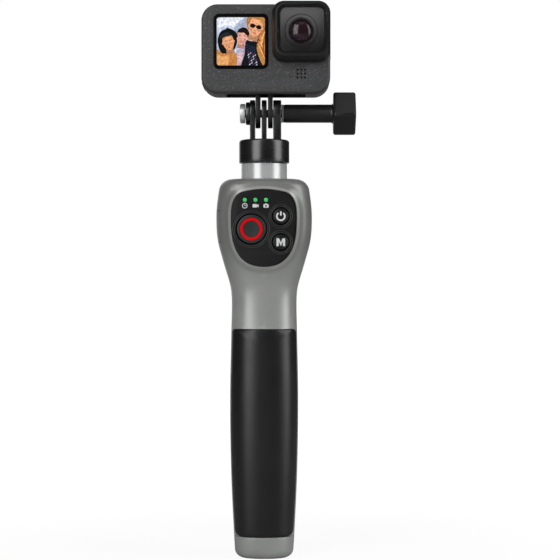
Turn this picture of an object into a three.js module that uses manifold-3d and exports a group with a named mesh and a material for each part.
// Telescoping remote-control hand grip with an action camera on its three-prong mount.
// Millimetres, +Z up along the pole. The origin is the centre of the end cap's flat base.
// The control panel and the lens face -Y, and the thumb screw points to +X.

import * as THREE from "three";
import { mergeVertices } from "three/addons/utils/BufferGeometryUtils.js";
import Module from "manifold-3d";

const wasm = await Module();
wasm.setup();

// ---------------------------------------------------------------- driving dimensions

const GAP = 0.3; // clearance between pieces that touch
const FAR = 80; // reach of a cutting block past the object

const CAP_TOP = 12.3; // the end cap meets the housings here
const PAD = { bottom: 12.6, top: 127.8, wall: 1.8, side: 7.1, bottomCorner: 4.5, topCorner: 2.6 };
const HEAD_TOP = 211.5;
const HEAD_EDGE = 5.5; // rounding around the top of the head
const BASE_EDGE = 4; // rounding around the base of the end cap
const HOUSING_WALL = 2.2;
const AROUND = 28; // facets around the handle

// Sections of the handle: height, half width, depth to the front and to the back.
const STATIONS = [
  { z: 0, width: 16.2, front: 15.8, back: 15.8 },
  { z: 13, width: 17.0, front: 16.6, back: 16.6 },
  { z: 48, width: 18.6, front: 18.0, back: 18.0 },
  { z: 88, width: 19.2, front: 18.5, back: 18.5 },
  { z: 128, width: 18.5, front: 18.0, back: 18.0 },
  { z: 142, width: 18.25, front: 17.9, back: 17.7 },
  { z: 151, width: 18.8, front: 18.4, back: 17.8 },
  { z: 164, width: 22.5, front: 20.6, back: 18.4 },
  { z: 178, width: 26.1, front: 21.3, back: 19.2 },
  { z: 192, width: 26.8, front: 21.3, back: 19.4 },
  { z: 204, width: 25.6, front: 21.2, back: 19.2 },
  { z: HEAD_TOP, width: 24.2, front: 20.6, back: 18.6 },
];
const GRIP_SQUARENESS = 2.5; // exponent of the superellipse section
const HEAD_SQUARENESS = 3.4;

const PANEL = { halfWidth: 17.9, top: 205, widest: 190.5, bottom: 162.6, face: -21.0, thick: 1.8 };
const RIM = { width: 1.5, face: -21.45, back: -17.4 };
const BUTTON_TRAVEL = 0.5;
const SHUTTER = { x: -6.9, z: 183.2, r: 8.0, ringInner: 4.6, ringOuter: 6.4 };
const POWER = { x: 9.35, z: 190.3, r: 4.3 };
const MODE = { x: 9.35, z: 176.0, r: 4.3 };
const LIGHTS = { z: 199.4, r: 1.1, firstX: -10.5, pitch: 5.85 };
const BOARD = { front: -15.3, thick: 1.0 };

const TUBE_TOP = 220.5;
const TUBE_BOTTOM = 62;
const TUBE_RADIUS = 12.85; // the fixed outer tube
const TUBE_STEP = 1.6; // each section is this much smaller in radius
const TUBE_WALL = 0.8;
const SECTIONS = 4;

const COLLAR = { bottom: 220.9, top: 233.9, r: 14.1, edge: 1.6 };
const PIVOT_Z = 248.9;
const PRONG_R = 7.6;
const PRONGS = [[-7.95, -5.05], [-1.4, 1.4], [5.05, 9.6]];
const BOSS = { x: -10.4, r: 6.4 };
const NUT = { left: -13.6, right: -10.7, r: 5.5 };
const SHANK_R = 2.3;
const SCREW = { start: 10.8, end: 38.8, r: 5.35 };
const KNOB = { left: 38.8, right: 51.4, side: 17.9, corner: 1.7, bevel: 0.8, turn: 53.5 };

const CAMERA = { x: 1.0, width: 71.8, bottom: 259.0, top: 308.8, halfDepth: 12.5, corner: 9, bevel: 1.8 };
const PLATE_BACK = -8.5; // the front plate meets the camera case here
const CAVITY = { left: -31.6, right: 34.6, bottom: 268, top: 306.2, back: 9 };
const BAY = { left: -21.2, right: 23.2, top: 266.8, front: -8.3, back: 8.6 };
const LENS = { x: 20.6, z: 293.0, width: 32.5, height: 33.7, corner: 6.8 };
const LENS_GLASS = { x: 21.1, z: 293.6, side: 26.9, corner: 4.5, front: -21.1, thick: 1.1 };
const SCREEN = { x: -12.9, z: 287.9, side: 30.6, window: 26.8 };
const REAR_SCREEN = { width: 60, height: 40, windowWidth: 50, windowHeight: 29 };
const DOOR = { front: -5.5, back: 9.0, top: 302, hingeX: -34.6, length: 41.1, thick: 2.0 };
const LATCH = { front: -2.5, back: 6.5, bottom: 262.4, top: 266.3, proud: 0.4, deep: 1.0 };
const FINGERS = [[-4.82, -2.1], [2.1, 4.82]];

// ---------------------------------------------------------------- solids

function solidOf(geometry) {
  const plain = geometry.clone();
  plain.deleteAttribute("normal");
  plain.deleteAttribute("uv");
  const merged = mergeVertices(plain, 1e-4);
  return new wasm.Manifold(new wasm.Mesh({
    numProp: 3,
    vertProperties: new Float32Array(merged.attributes.position.array),
    triVerts: new Uint32Array(merged.index.array),
  }));
}

function geometryOf(solid) {
  const mesh = solid.getMesh();
  const geometry = new THREE.BufferGeometry();
  geometry.setAttribute("position", new THREE.BufferAttribute(mesh.vertProperties, 3));
  geometry.setIndex(new THREE.BufferAttribute(mesh.triVerts, 1));
  geometry.computeVertexNormals();
  return geometry;
}

const join = (first, ...others) => others.reduce((solid, other) => solid.add(other), first);
const cut = (first, ...tools) => tools.reduce((solid, tool) => solid.subtract(tool), first);

function box(x, y, z) {
  const [dx, dy, dz] = [x[1] - x[0], y[1] - y[0], z[1] - z[0]];
  const geometry = new THREE.BoxGeometry(dx, dy, dz);
  return solidOf(geometry.translate(x[0] + dx / 2, y[0] + dy / 2, z[0] + dz / 2));
}

// A rod between two heights on the Z axis, turned to lie along the named axis.
function rod(axis, radius, from, to, at = [0, 0, 0], facets = 24) {
  const geometry = new THREE.CylinderGeometry(radius, radius, to - from, facets);
  geometry.translate(0, (from + to) / 2, 0);
  if (axis === "x") geometry.rotateZ(-Math.PI / 2);
  if (axis === "z") geometry.rotateX(Math.PI / 2);
  return solidOf(geometry.translate(...at));
}

const tube = (axis, outer, inner, from, to, at, facets) =>
  cut(rod(axis, outer, from, to, at, facets), rod(axis, inner, from - 1, to + 1, at, facets));

// A turned body about the Z axis; the profile's points are (radius, height).
function turned(profile, facets = 24) {
  const points = profile.map(([radius, height]) => new THREE.Vector2(radius, height));
  return solidOf(new THREE.LatheGeometry(points, facets).rotateX(Math.PI / 2));
}

// An outline drawn in X and Z, made solid between two depths along Y.
function plate(shape, front, back, bevel = 0, curveSegments = 3) {
  const geometry = new THREE.ExtrudeGeometry(shape, {
    depth: back - front - 2 * bevel,
    bevelEnabled: bevel > 0,
    bevelThickness: bevel,
    bevelSize: bevel,
    bevelOffset: -bevel,
    bevelSegments: bevel > 1 ? 2 : 1,
    curveSegments,
  });
  return solidOf(geometry.rotateX(Math.PI / 2).translate(0, back - bevel, 0));
}

function roundedRectangle(x, z, width, height, radius) {
  const [left, right] = [x - width / 2, x + width / 2];
  const [low, high] = [z - height / 2, z + height / 2];
  const shape = new THREE.Shape();
  shape.moveTo(left + radius, low);
  shape.lineTo(right - radius, low);
  shape.absarc(right - radius, low + radius, radius, -Math.PI / 2, 0);
  shape.lineTo(right, high - radius);
  shape.absarc(right - radius, high - radius, radius, 0, Math.PI / 2);
  shape.lineTo(left + radius, high);
  shape.absarc(left + radius, high - radius, radius, Math.PI / 2, Math.PI);
  shape.lineTo(left, low + radius);
  shape.absarc(left + radius, low + radius, radius, Math.PI, 1.5 * Math.PI);
  return shape;
}

// ---------------------------------------------------------------- handle sections

// Smooth curve through the stations, with each station's slope taken from its neighbours.
function stationValue(key, z) {
  const last = STATIONS.length - 1;
  const at = (index) => STATIONS[Math.min(Math.max(index, 0), last)];
  let index = 0;
  while (index < last - 1 && z > STATIONS[index + 1].z) index += 1;
  const slope = (i) => (at(i + 1)[key] - at(i - 1)[key]) / (at(i + 1).z - at(i - 1).z);
  const [a, b] = [STATIONS[index], STATIONS[index + 1]];
  const span = b.z - a.z;
  const t = (z - a.z) / span;
  return (2 * t ** 3 - 3 * t ** 2 + 1) * a[key] + (t ** 3 - 2 * t ** 2 + t) * span * slope(index)
    + (3 * t ** 2 - 2 * t ** 3) * b[key] + (t ** 3 - t ** 2) * span * slope(index + 1);
}

const smoothStep = (t) => THREE.MathUtils.smoothstep(t, 0, 1);

// How far a rounded edge of the given radius has pulled in at this distance from the end.
function edgeInset(distance, radius) {
  if (distance >= radius) return 0;
  return radius - Math.sqrt(Math.max(0, radius ** 2 - (radius - distance) ** 2));
}

function sectionPoints(z, inset, facets) {
  const squareness = THREE.MathUtils.lerp(
    GRIP_SQUARENESS, HEAD_SQUARENESS, smoothStep((z - 145) / 35));
  const width = stationValue("width", z) - inset;
  const front = stationValue("front", z) - inset;
  const back = stationValue("back", z) - inset;
  return Array.from({ length: facets }, (_, i) => {
    const angle = (2 * Math.PI * i) / facets;
    const [c, s] = [Math.cos(angle), Math.sin(angle)];
    const reach = (Math.abs(c) ** squareness + Math.abs(s) ** squareness) ** (-1 / squareness);
    return new THREE.Vector3(width * reach * c, (s < 0 ? front : back) * reach * s, z);
  });
}

// A closed body through rings given as [height, inset from the handle's outside].
function handleBody(rings, facets = AROUND) {
  const points = rings.flatMap(([z, inset]) => sectionPoints(z, inset, facets));
  const faces = [];
  for (let ring = 0; ring < rings.length - 1; ring += 1) {
    for (let i = 0; i < facets; i += 1) {
      const a = ring * facets + i;
      const b = ring * facets + ((i + 1) % facets);
      faces.push(a, b, b + facets, a, b + facets, a + facets);
    }
  }
  const top = (rings.length - 1) * facets;
  for (let i = 1; i < facets - 1; i += 1) {
    faces.push(0, i + 1, i, top, top + i, top + i + 1);
  }
  const geometry = new THREE.BufferGeometry().setFromPoints(points);
  geometry.setIndex(faces);
  return solidOf(geometry);
}

const steps = (from, to, count) =>
  Array.from({ length: count + 1 }, (_, i) => from + ((to - from) * i) / count);

// Rings between two heights, with a rounded edge at either end.
function rings(bottom, top, count, { inset = 0, bottomEdge = 0, topEdge = 0 } = {}) {
  const edge = (radius) => (radius > 0 ? [0, 0.2, 1].map((t) => t * radius) : [0]);
  const low = edge(bottomEdge).map((d) => [bottom + d, inset + edgeInset(d, bottomEdge)]);
  const high = edge(topEdge).map((d) => [top - d, inset + edgeInset(d, topEdge)]).reverse();
  const middle = steps(bottom + bottomEdge, top - topEdge, count).slice(1, -1);
  return [...low, ...middle.map((z) => [z, inset]), ...high];
}

// ---------------------------------------------------------------- handle

// Egg-shaped outline of the control panel, grown outwards by the given amount.
function panelOutline(grow = 0) {
  const half = PANEL.halfWidth + grow;
  const corner = 8.5 + grow;
  const top = PANEL.top + grow;
  const bottom = PANEL.bottom - grow;
  const shape = new THREE.Shape();
  shape.moveTo(0, bottom);
  shape.bezierCurveTo(half * 0.99, bottom, half, PANEL.widest - 10, half, PANEL.widest);
  shape.bezierCurveTo(half, top - corner * 0.5, half - corner * 0.45, top - 1.6, half - corner, top - 1.1);
  shape.quadraticCurveTo(0, top + 1.1, -half + corner, top - 1.1);
  shape.bezierCurveTo(-half + corner * 0.45, top - 1.6, -half, top - corner * 0.5, -half, PANEL.widest);
  shape.bezierCurveTo(-half, PANEL.widest - 10, -half * 0.99, bottom, 0, bottom);
  return shape;
}

const HOUSING_SCREWS = [[-19.4, 200], [19.4, 200], [-7, 55.5], [7, 55.5]];
const SCREW_POST_R = 3;

// The block of the handle's side that the charging-port cover fills.
const PORT = { front: -13.6, back: -4.4, bottom: 176.4, top: 193.6, thick: 1.5 };
const portBlock = (grow) => box(
  [-FAR, -18], [PORT.front - grow, PORT.back + grow], [PORT.bottom - grow, PORT.top + grow]);

const headOutside = () => handleBody(rings(150, HEAD_TOP, 10, { topEdge: HEAD_EDGE }));

// Rings along the grip, at the same heights for every layer so that the layers nest.
const gripRings = (inset, bottom, top) =>
  [bottom, ...steps(PAD.bottom, PAD.top, 5).slice(1, -1), top].map((z) => [z, inset]);

// Outline of a grip pad, in X and Z: it bows with the handle and its corners are round.
function padOutline(grow) {
  const bottom = PAD.bottom - grow;
  const top = PAD.top + grow;
  const side = (z) => stationValue("width", z) + grow - 0.35;
  const heights = steps(bottom + PAD.bottomCorner, top - PAD.topCorner, 5);
  const shape = new THREE.Shape();
  shape.moveTo(side(bottom) - PAD.bottomCorner, bottom);
  shape.quadraticCurveTo(side(bottom), bottom, side(heights[0]), heights[0]);
  heights.slice(1).forEach((z) => shape.lineTo(side(z), z));
  shape.quadraticCurveTo(side(top), top, side(top) - PAD.topCorner, top);
  shape.lineTo(PAD.topCorner - side(top), top);
  shape.quadraticCurveTo(-side(top), top, -side(heights.at(-1)), heights.at(-1));
  heights.slice(0, -1).reverse().forEach((z) => shape.lineTo(-side(z), z));
  shape.quadraticCurveTo(-side(bottom), bottom, PAD.bottomCorner - side(bottom), bottom);
  return shape;
}

// The space in front of (or behind) the grip that a pad, or its pocket, keeps to.
const padBlock = (isFront, grow) => isFront
  ? plate(padOutline(grow), -FAR, grow - PAD.side)
  : plate(padOutline(grow), PAD.side - grow, FAR);

function padPocket(isFront) {
  const floor = handleBody(gripRings(PAD.wall + GAP, 0, PAD.top + 3));
  return cut(padBlock(isFront, GAP), floor);
}

function housingShell() {
  const gripHollow = handleBody(gripRings(PAD.wall + GAP + HOUSING_WALL, 0, PAD.top));
  const headHollow = handleBody([
    [PAD.top - 2, PAD.wall + GAP + HOUSING_WALL],
    ...rings(PAD.top + 6, HEAD_TOP - HOUSING_WALL, 6, { inset: HOUSING_WALL }),
  ]);
  const rim = plate(panelOutline(RIM.width), RIM.face, RIM.back, 0.5, 5);
  const outside = handleBody([
    ...gripRings(0, PAD.bottom, PAD.top),
    ...rings(PAD.top + 4, HEAD_TOP, 10, { topEdge: HEAD_EDGE }),
  ]);
  const posts = HOUSING_SCREWS.map(([x, z]) =>
    rod("y", SCREW_POST_R, -FAR, FAR, [x, 0, z], 10).intersect(outside));
  return cut(
    join(cut(outside, gripHollow, headHollow), rim, ...posts),
    padPocket(true),
    padPocket(false),
    rod("z", TUBE_RADIUS + GAP, PAD.top, HEAD_TOP + 5, [0, 0, 0], 24),
    plate(panelOutline(GAP), RIM.face - 5, PANEL.face + PANEL.thick + 0.1, 0, 5),
    plate(panelOutline(-2.2), RIM.face - 5, RIM.back + 1),
    ...[SHUTTER, POWER, MODE].map(buttonHole),
    ...HOUSING_SCREWS.map(([x, z]) => rod("y", 1.7, -12, FAR, [x, 0, z], 8)),
    ...HOUSING_SCREWS.map(([x, z]) => rod("y", 2.9, 12.5, FAR, [x, 0, z], 12)),
  );
}

function frontHousing(shell) {
  const half = shell.intersect(box([-FAR, FAR], [-FAR, -GAP / 2], [0, HEAD_TOP + 5]));
  const pocketFloor = handleBody(rings(150, HEAD_TOP, 10, { inset: PORT.thick + GAP, topEdge: HEAD_EDGE }));
  const socketHole = box([-FAR, -15], [-10.9, -7.1], [179.9, 190.1]);
  return cut(half, cut(portBlock(GAP), pocketFloor), socketHole);
}

const rearHousing = (shell) =>
  shell.intersect(box([-FAR, FAR], [GAP / 2, FAR], [0, HEAD_TOP + 5]));

function portCover() {
  const inside = handleBody(rings(150, HEAD_TOP, 10, { inset: PORT.thick, topEdge: HEAD_EDGE }));
  return cut(headOutside().intersect(portBlock(0)), inside);
}

function housingScrew(x, z) {
  const driveSlot = box([x - 1.6, x + 1.6], [13.4, 20], [z - 0.3, z + 0.3]);
  return cut(join(rod("y", 1.3, -9, 13.5, [x, 0, z], 8), rod("y", 2.5, 12.8, 14.1, [x, 0, z], 12)), driveSlot);
}

function gripPad(isFront) {
  const outside = handleBody(gripRings(0, 0, PAD.top + 3));
  const inside = handleBody(gripRings(PAD.wall, -1, PAD.top + 4));
  return cut(outside, inside).intersect(padBlock(isFront, 0));
}

const SOCKET_R = 3.2; // inside of the quarter-inch tripod thread
const INSERT = { r: 5.6, bottom: 0.4, top: 9.6 };

function endCap() {
  const outside = handleBody(rings(0, CAP_TOP, 3, { bottomEdge: BASE_EDGE }));
  return cut(outside, rod("z", INSERT.r + GAP, -1, CAP_TOP + 1, [0, 0, 0], 24));
}

// ---------------------------------------------------------------- controls

const buttonHole = ({ x, z, r }) => rod("y", r + GAP, -FAR, 0, [x, 0, z], 24);
const lightPlaces = [0, 1, 2].map((i) => LIGHTS.firstX + i * LIGHTS.pitch);

function controlPanel() {
  return cut(
    plate(panelOutline(), PANEL.face, PANEL.face + PANEL.thick, 0, 5),
    ...[SHUTTER, POWER, MODE].map(buttonHole),
    ...lightPlaces.map((x) => rod("y", LIGHTS.r + GAP, -FAR, 0, [x, 0, LIGHTS.z], 12)),
  );
}

const CAP = { face: -21.5, back: -18.6 };

function shutterButton() {
  const groove = tube("y", SHUTTER.ringOuter + 0.15, SHUTTER.ringInner - 0.15, CAP.face - 1, CAP.face + 0.8,
    [SHUTTER.x, 0, SHUTTER.z], 24);
  return cut(rod("y", SHUTTER.r, CAP.face, CAP.back, [SHUTTER.x, 0, SHUTTER.z], 24), groove);
}

const shutterRing = () => tube("y", SHUTTER.ringOuter, SHUTTER.ringInner, CAP.face, CAP.face + 0.6,
  [SHUTTER.x, 0, SHUTTER.z], 24);

const smallButton = ({ x, z, r }) => rod("y", r, CAP.face + 0.2, CAP.back, [x, 0, z], 16);

function tactSwitch({ x, z }) {
  const body = box([x - 3, x + 3], [-17, BOARD.front - GAP], [z - 3, z + 3]);
  return join(body, rod("y", 1.7, CAP.back + BUTTON_TRAVEL + 0.2, -16.5, [x, 0, z], 12));
}

function controlBoard() {
  const outline = roundedRectangle(0, 184, 31, 38, 3);
  return plate(outline, BOARD.front, BOARD.front + BOARD.thick, 0, 3);
}

function usbSocket() {
  const shell = plate(roundedRectangle(0, 0, 8.9, 3.2, 1.55), 0, 7.2, 0, 2);
  const hollow = plate(roundedRectangle(0, 0, 8.2, 2.5, 1.2), -1, 6.4, 0, 2);
  return cut(shell, hollow).rotate([0, 0, -90]).rotate([90, 0, 0]).translate([-22.6, -9, 185]);
}

// ---------------------------------------------------------------- pole

const tubeRadius = (index) => TUBE_RADIUS - TUBE_STEP * index;

function poleTube(index, bottom, top) {
  const radius = tubeRadius(index);
  return tube("z", radius, radius - TUBE_WALL, bottom, top, [0, 0, 0], 24);
}

function slideBush(index, bottom) {
  const inner = tubeRadius(index) + 0.15;
  const outer = tubeRadius(index - 1) - TUBE_WALL - 0.2;
  return tube("z", outer, inner, bottom, bottom + 9, [0, 0, 0], 24);
}

// The fixed tube is closed at its lower end, so that nothing falls into the handle.
const outerTube = () => join(
  poleTube(0, TUBE_BOTTOM, TUBE_TOP),
  rod("z", TUBE_RADIUS, TUBE_BOTTOM - 1.2, TUBE_BOTTOM + 0.01, [0, 0, 0], 24));

// ---------------------------------------------------------------- camera mount

// The outline, in Y and Z, of a flat lug with a round head about the pivot.
function lug(x, radius, end, halfWidth) {
  const shape = new THREE.Shape();
  shape.absarc(0, 0, radius, 0, 2 * Math.PI);
  const depth = x[1] - x[0];
  const head = new THREE.ExtrudeGeometry(shape, { depth, bevelEnabled: false, curveSegments: 11 });
  head.rotateY(Math.PI / 2);
  const low = Math.min(end, PIVOT_Z);
  const high = Math.max(end, PIVOT_Z);
  return join(
    solidOf(head).translate([x[0], 0, PIVOT_Z]),
    box(x, [-halfWidth, halfWidth], [low, high]));
}

function prongMount() {
  const { bottom, top, r, edge } = COLLAR;
  const collar = turned([
    [0, bottom], [r - 0.4, bottom], [r, bottom + 0.4], [r, top - edge],
    ...[0.5].map((t) => {
      const angle = (t * Math.PI) / 2;
      return [r - edge + edge * Math.cos(angle), top - edge + edge * Math.sin(angle)];
    }),
    [r - edge, top], [0, top],
  ]);
  const prongs = PRONGS.map((x) => lug(x, PRONG_R, top - 1, 6.6));
  const boss = rod("x", BOSS.r, BOSS.x, PRONGS[0][0] + 1, [0, 0, PIVOT_Z], 24);
  const socket = rod("z", tubeRadius(SECTIONS) + GAP, bottom - 1, bottom + 10, [0, 0, 0], 24);
  const bore = rod("x", SHANK_R + GAP, -FAR, FAR, [0, 0, PIVOT_Z], 12);
  return cut(join(collar, ...prongs, boss), socket, bore);
}

function clampNut() {
  const body = rod("x", NUT.r, NUT.left, NUT.right, [0, 0, PIVOT_Z], 24);
  return cut(body, rod("x", SHANK_R + GAP, -FAR, FAR, [0, 0, PIVOT_Z], 12));
}

const screwShank = () => rod("x", SHANK_R, NUT.left + 0.2, SCREW.start - GAP, [0, 0, PIVOT_Z], 12);
const screwWasher = () => tube("x", 4.6, SHANK_R + GAP, PRONGS[2][1] + GAP, SCREW.start - GAP,
  [0, 0, PIVOT_Z], 24);

function thumbScrewKnob() {
  const corners = roundedRectangle(0, 0, KNOB.side, KNOB.side, KNOB.corner);
  const block = plate(corners, -(KNOB.right - KNOB.left) / 2, (KNOB.right - KNOB.left) / 2, KNOB.bevel, 2)
    .rotate([0, 0, 90])
    .rotate([KNOB.turn, 0, 0])
    .translate([(KNOB.left + KNOB.right) / 2, 0, PIVOT_Z]);
  return join(block, rod("x", SCREW.r, SCREW.start, SCREW.end + 1, [0, 0, PIVOT_Z], 24));
}

// ---------------------------------------------------------------- action camera

const cameraOutline = (grow = 0) => roundedRectangle(
  CAMERA.x, (CAMERA.bottom + CAMERA.top) / 2,
  CAMERA.width + 2 * grow, CAMERA.top - CAMERA.bottom + 2 * grow, CAMERA.corner + grow);

const cameraBody = () =>
  plate(cameraOutline(), -CAMERA.halfDepth, CAMERA.halfDepth, CAMERA.bevel);
const cameraLayer = (grow) => plate(cameraOutline(grow), -FAR, FAR);

// The door's space: its lower edge is an arc about the hinge, so it clears the case as it opens.
const doorBlock = (grow) => box(
  [-FAR, -26], [DOOR.front - grow, DOOR.back + grow], [240, DOOR.top + grow],
).intersect(rod("y", DOOR.length + grow, -FAR, FAR, [DOOR.hingeX, 0, DOOR.top], 48));

const SHUTTER_KEY = { x: -14, width: 15, depth: 9, low: 306.5, high: 309.2 };
const MODE_KEY = { z: 284, length: 10, depth: 4.6, low: 34.9, high: 37.3 };
const shutterKeyBlock = (grow) => box(
  [SHUTTER_KEY.x - SHUTTER_KEY.width / 2 - grow, SHUTTER_KEY.x + SHUTTER_KEY.width / 2 + grow],
  [-SHUTTER_KEY.depth / 2 - grow, SHUTTER_KEY.depth / 2 + grow],
  [SHUTTER_KEY.low - 3 * grow, SHUTTER_KEY.high + 3 * grow]);
const modeKeyBlock = (grow) => box(
  [MODE_KEY.low - 3 * grow, MODE_KEY.high + 3 * grow],
  [-MODE_KEY.depth / 2 - grow, MODE_KEY.depth / 2 + grow],
  [MODE_KEY.z - MODE_KEY.length / 2 - grow, MODE_KEY.z + MODE_KEY.length / 2 + grow]);

function cameraCase() {
  const rear = roundedRectangle(CAMERA.x, (CAMERA.bottom + CAMERA.top) / 2,
    REAR_SCREEN.width + 2 * GAP, REAR_SCREEN.height + 2 * GAP, 4);
  return cut(
    cameraBody().intersect(box([-FAR, FAR], [PLATE_BACK + GAP / 2, FAR], [200, 400])),
    box([CAVITY.left, CAVITY.right], [-FAR, CAVITY.back], [CAVITY.bottom, CAVITY.top]),
    box([BAY.left, BAY.right], [BAY.front, BAY.back], [200, BAY.top]),
    cut(doorBlock(GAP), cameraLayer(-DOOR.thick - GAP)),
    box([-FAR, CAVITY.left + 1], [-5, 6.9], [271, 300]),
    plate(rear, CAMERA.halfDepth - 1.4, FAR),
    shutterKeyBlock(GAP),
    modeKeyBlock(GAP),
  );
}

function cameraFrontPlate() {
  const front = CAMERA.halfDepth;
  const screen = roundedRectangle(SCREEN.x, SCREEN.z, SCREEN.side + 2 * GAP, SCREEN.side + 2 * GAP, 3.3);
  return cut(
    cameraBody().intersect(box([-FAR, FAR], [-FAR, PLATE_BACK - GAP / 2], [200, 400])),
    plate(screen, -FAR, -front + 1.6),
    rod("y", 10.6, -FAR, 0, [LENS.x, 0, LENS.z], 28),
  );
}

const bezel = (x, z, outer, window, front, back, corner) => cut(
  plate(roundedRectangle(x, z, ...outer, corner), front, back),
  plate(roundedRectangle(x, z, ...window, 1.5), front - 1, back + 1));

const frontScreenBezel = () => bezel(SCREEN.x, SCREEN.z, [SCREEN.side, SCREEN.side],
  [SCREEN.window, SCREEN.window], -12.6, -11.3, 3);
const frontDisplay = () => plate(
  roundedRectangle(SCREEN.x, SCREEN.z, SCREEN.window - 0.5, SCREEN.window - 0.5, 1.3), -12.5, -11.3);

const CAMERA_MIDDLE = (CAMERA.bottom + CAMERA.top) / 2;
const rearScreenBezel = () => bezel(CAMERA.x, CAMERA_MIDDLE, [REAR_SCREEN.width, REAR_SCREEN.height],
  [REAR_SCREEN.windowWidth, REAR_SCREEN.windowHeight], 11.4, 12.6, 3.7);
const rearDisplay = () => plate(roundedRectangle(CAMERA.x, CAMERA_MIDDLE,
  REAR_SCREEN.windowWidth - 0.5, REAR_SCREEN.windowHeight - 0.5, 1.3), 11.4, 12.5);

// The square lens cover: upright walls at its foot, then a slope up to the glass.
function lensCoverFrame() {
  const foot = plate(roundedRectangle(LENS.x, LENS.z, LENS.width, LENS.height, LENS.corner), -17.6, -12.8);
  const slopes = [[-17.6, -18.9, 0.7], [-18.9, -20.2, 1.6]].map(([back, front, inset]) => plate(
    roundedRectangle(LENS.x + inset * 0.25, LENS.z + inset * 0.3, LENS.width - 2 * inset,
      LENS.height - 2 * inset, LENS.corner - inset * 0.4), front, back));
  const face = plate(roundedRectangle(LENS_GLASS.x, LENS_GLASS.z, LENS_GLASS.side + 1.6,
    LENS_GLASS.side + 1.6, LENS_GLASS.corner + 0.6), -21, -20.2);
  const { x, z, side, corner, front, thick } = LENS_GLASS;
  return cut(
    join(foot, ...slopes, face),
    plate(roundedRectangle(x, z, side + 0.6, side + 0.6, corner + 0.2), -FAR, front + thick + GAP),
    plate(roundedRectangle(x, z, side - 3, side - 3, corner - 1), -FAR, -15),
    rod("y", 11.4, -FAR, 0, [LENS.x, 0, LENS.z], 28),
  );
}

const lensCoverGlass = () => {
  const { x, z, side, corner, front, thick } = LENS_GLASS;
  return plate(roundedRectangle(x, z, side, side, corner), front, front + thick);
};
const lensBarrel = () => tube("y", 10.2, 6.9, -16.6, -4.5, [LENS.x, 0, LENS.z], 28);

function lensElement() {
  const bulge = 2.2;
  const radius = 6.6;
  const sphere = (radius ** 2 + bulge ** 2) / (2 * bulge);
  const limit = Math.asin(radius / sphere);
  const profile = [[0, -10]];
  profile.push([radius, -10]);
  for (const t of [1, 0.75, 0.5, 0.25, 0]) {
    profile.push([sphere * Math.sin(t * limit), sphere * (Math.cos(t * limit) - Math.cos(limit))]);
  }
  return turned(profile, 24).rotate([90, 0, 0]).translate([LENS.x, -16.2, LENS.z]);
}

const sensorBlock = () => box([LENS.x - 8, LENS.x + 8], [-4.1, 3.5], [LENS.z - 8, LENS.z + 8]);
const cameraBoard = () => box([-27, 31], [7.2, 8.3], [271, 304]);
const cameraBattery = () => box([-30.6, 2.4], [-4.7, 6.6], [268.4, 305.4]);

const batteryDoor = () => {
  const skin = cut(cameraBody(), cameraLayer(-DOOR.thick)).intersect(doorBlock(0));
  const pocket = box([-FAR, -26], [LATCH.front - GAP, LATCH.back + GAP], [240, LATCH.top + GAP]);
  return cut(skin, cut(pocket, cameraLayer(-LATCH.deep - GAP)));
};

function doorLatch() {
  const block = box([-FAR, -26], [LATCH.front, LATCH.back], [LATCH.bottom, LATCH.top]);
  return cut(cameraLayer(LATCH.proud), cameraLayer(-LATCH.deep)).intersect(block);
}

const shutterKey = () => shutterKeyBlock(0);
const modeKey = () => modeKeyBlock(0);

const FINGER_HINGE_Z = 263.6;
function mountFinger(x) {
  const hinge = (x[0] + x[1]) / 2;
  return cut(
    lug(x, 8.3, BAY.top - GAP, 7.4),
    rod("x", SHANK_R + GAP, -FAR, FAR, [0, 0, PIVOT_Z], 12),
    rod("y", 0.95, -FAR, FAR, [hinge, 0, FINGER_HINGE_Z], 10));
}

const fingerPin = (x) => rod("y", 0.65, BAY.front + GAP, BAY.back - GAP,
  [(x[0] + x[1]) / 2, 0, FINGER_HINGE_Z], 10);

// ---------------------------------------------------------------- scene graph

const finish = (color, roughness, metalness = 0) => ({ color, roughness, metalness });
const GREY_SHELL = finish(0x828582, 0.55);
const BLACK_SOFT = finish(0x2a2a2b, 0.5);
const BLACK_GLOSS = finish(0x161617, 0.35);
const CAMERA_GREY = finish(0x4a4b4d, 0.7);
const SILVER = finish(0xc8cacb, 0.25, 1);
const STEEL = finish(0xb4b6b8, 0.35, 1);
const BRASS = finish(0xb08d4a, 0.4, 1);
const RED = finish(0xe01014, 0.5);
const GREEN = finish(0x2fd45a, 0.4);
const BOARD_GREEN = finish(0x1f5a38, 0.6);
const CELL_BLUE = finish(0x2b4a7a, 0.5);
const LENS_GLASS_FINISH = finish(0x15161c, 0.05);
const PICTURE = finish(0x9fb0c4, 0.3);

const group = new THREE.Group();

function subAssembly() {
  const child = new THREE.Group();
  group.add(child);
  return child;
}

function addPart(parent, name, look, solid) {
  const mesh = new THREE.Mesh(geometryOf(solid), new THREE.MeshStandardMaterial(look));
  mesh.name = name;
  parent.add(mesh);
}

const handle = subAssembly();
const shell = housingShell();
addPart(handle, "front_housing", GREY_SHELL, frontHousing(shell));
addPart(handle, "rear_housing", GREY_SHELL, rearHousing(shell));
addPart(handle, "grip_pad_front", BLACK_SOFT, gripPad(true));
addPart(handle, "grip_pad_rear", BLACK_SOFT, gripPad(false));
addPart(handle, "end_cap", GREY_SHELL, endCap());
addPart(handle, "tripod_insert", BRASS,
  tube("z", INSERT.r, SOCKET_R, INSERT.bottom, INSERT.top, [0, 0, 0], 24));
HOUSING_SCREWS.forEach(([x, z], i) => addPart(handle, `housing_screw_${i + 1}`, STEEL, housingScrew(x, z)));
addPart(handle, "handle_battery", CELL_BLUE, box([-9.5, 9.5], [-7, 7], [14, 50]));
addPart(handle, "usb_socket", STEEL, usbSocket());
addPart(handle, "port_cover", GREY_SHELL, portCover());

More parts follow.
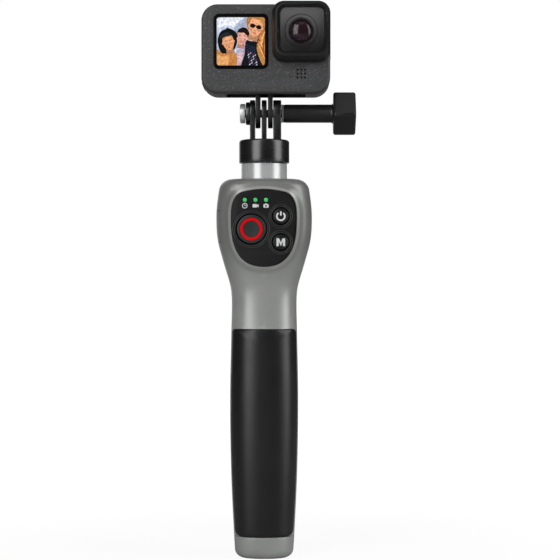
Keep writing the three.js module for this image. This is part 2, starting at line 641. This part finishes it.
const controls = subAssembly();
addPart(controls, "control_panel", BLACK_GLOSS, controlPanel());
addPart(controls, "control_board", BOARD_GREEN, controlBoard());
addPart(controls, "shutter_button", BLACK_GLOSS, shutterButton());
addPart(controls, "shutter_ring", RED, shutterRing());
addPart(controls, "power_button", BLACK_GLOSS, smallButton(POWER));
addPart(controls, "mode_button", BLACK_GLOSS, smallButton(MODE));
addPart(controls, "shutter_switch", STEEL, tactSwitch(SHUTTER));
addPart(controls, "power_switch", STEEL, tactSwitch(POWER));
addPart(controls, "mode_switch", STEEL, tactSwitch(MODE));
["timer_light", "video_light", "photo_light"].forEach((name, i) => addPart(controls, name, GREEN,
  rod("y", LIGHTS.r, PANEL.face - 0.15, BOARD.front - GAP, [lightPlaces[i], 0, LIGHTS.z], 12)));

const pole = subAssembly();
addPart(pole, "outer_tube", SILVER, outerTube());
for (let index = 1; index <= SECTIONS; index += 1) {
  const bottom = TUBE_BOTTOM + 1.5 + 2 * index;
  const top = index === SECTIONS ? COLLAR.bottom + 9.5 : TUBE_TOP;
  addPart(pole, `pole_section_${index}`, SILVER, poleTube(index, bottom, top));
  addPart(pole, `slide_bush_${index}`, BLACK_SOFT, slideBush(index, bottom));
}

const mount = subAssembly();
addPart(mount, "prong_mount", BLACK_SOFT, prongMount());
addPart(mount, "clamp_nut", SILVER, clampNut());
addPart(mount, "screw_washer", STEEL, screwWasher());
addPart(mount, "screw_shank", STEEL, screwShank());
addPart(mount, "thumb_screw_knob", BLACK_SOFT, thumbScrewKnob());

const camera = subAssembly();
addPart(camera, "camera_case", CAMERA_GREY, cameraCase());
addPart(camera, "camera_front_plate", CAMERA_GREY, cameraFrontPlate());
addPart(camera, "front_screen_bezel", BLACK_GLOSS, frontScreenBezel());
addPart(camera, "front_display", PICTURE, frontDisplay());
addPart(camera, "rear_screen_bezel", BLACK_GLOSS, rearScreenBezel());
addPart(camera, "rear_display", PICTURE, rearDisplay());
addPart(camera, "lens_cover_frame", BLACK_SOFT, lensCoverFrame());
addPart(camera, "lens_cover_glass", LENS_GLASS_FINISH, lensCoverGlass());
addPart(camera, "lens_barrel", BLACK_SOFT, lensBarrel());
addPart(camera, "lens_element", LENS_GLASS_FINISH, lensElement());
addPart(camera, "sensor_block", STEEL, sensorBlock());
addPart(camera, "camera_board", BOARD_GREEN, cameraBoard());
addPart(camera, "camera_battery", CELL_BLUE, cameraBattery());
addPart(camera, "camera_shutter_key", BLACK_SOFT, shutterKey());
addPart(camera, "camera_mode_key", BLACK_SOFT, modeKey());
addPart(camera, "battery_door", CAMERA_GREY, batteryDoor());
addPart(camera, "door_latch", BLACK_SOFT, doorLatch());
FINGERS.forEach((x, i) => {
  const side = ["left", "right"][i];
  addPart(camera, `mount_finger_${side}`, BLACK_SOFT, mountFinger(x));
  addPart(camera, `finger_pin_${side}`, STEEL, fingerPin(x));
});

export default group;
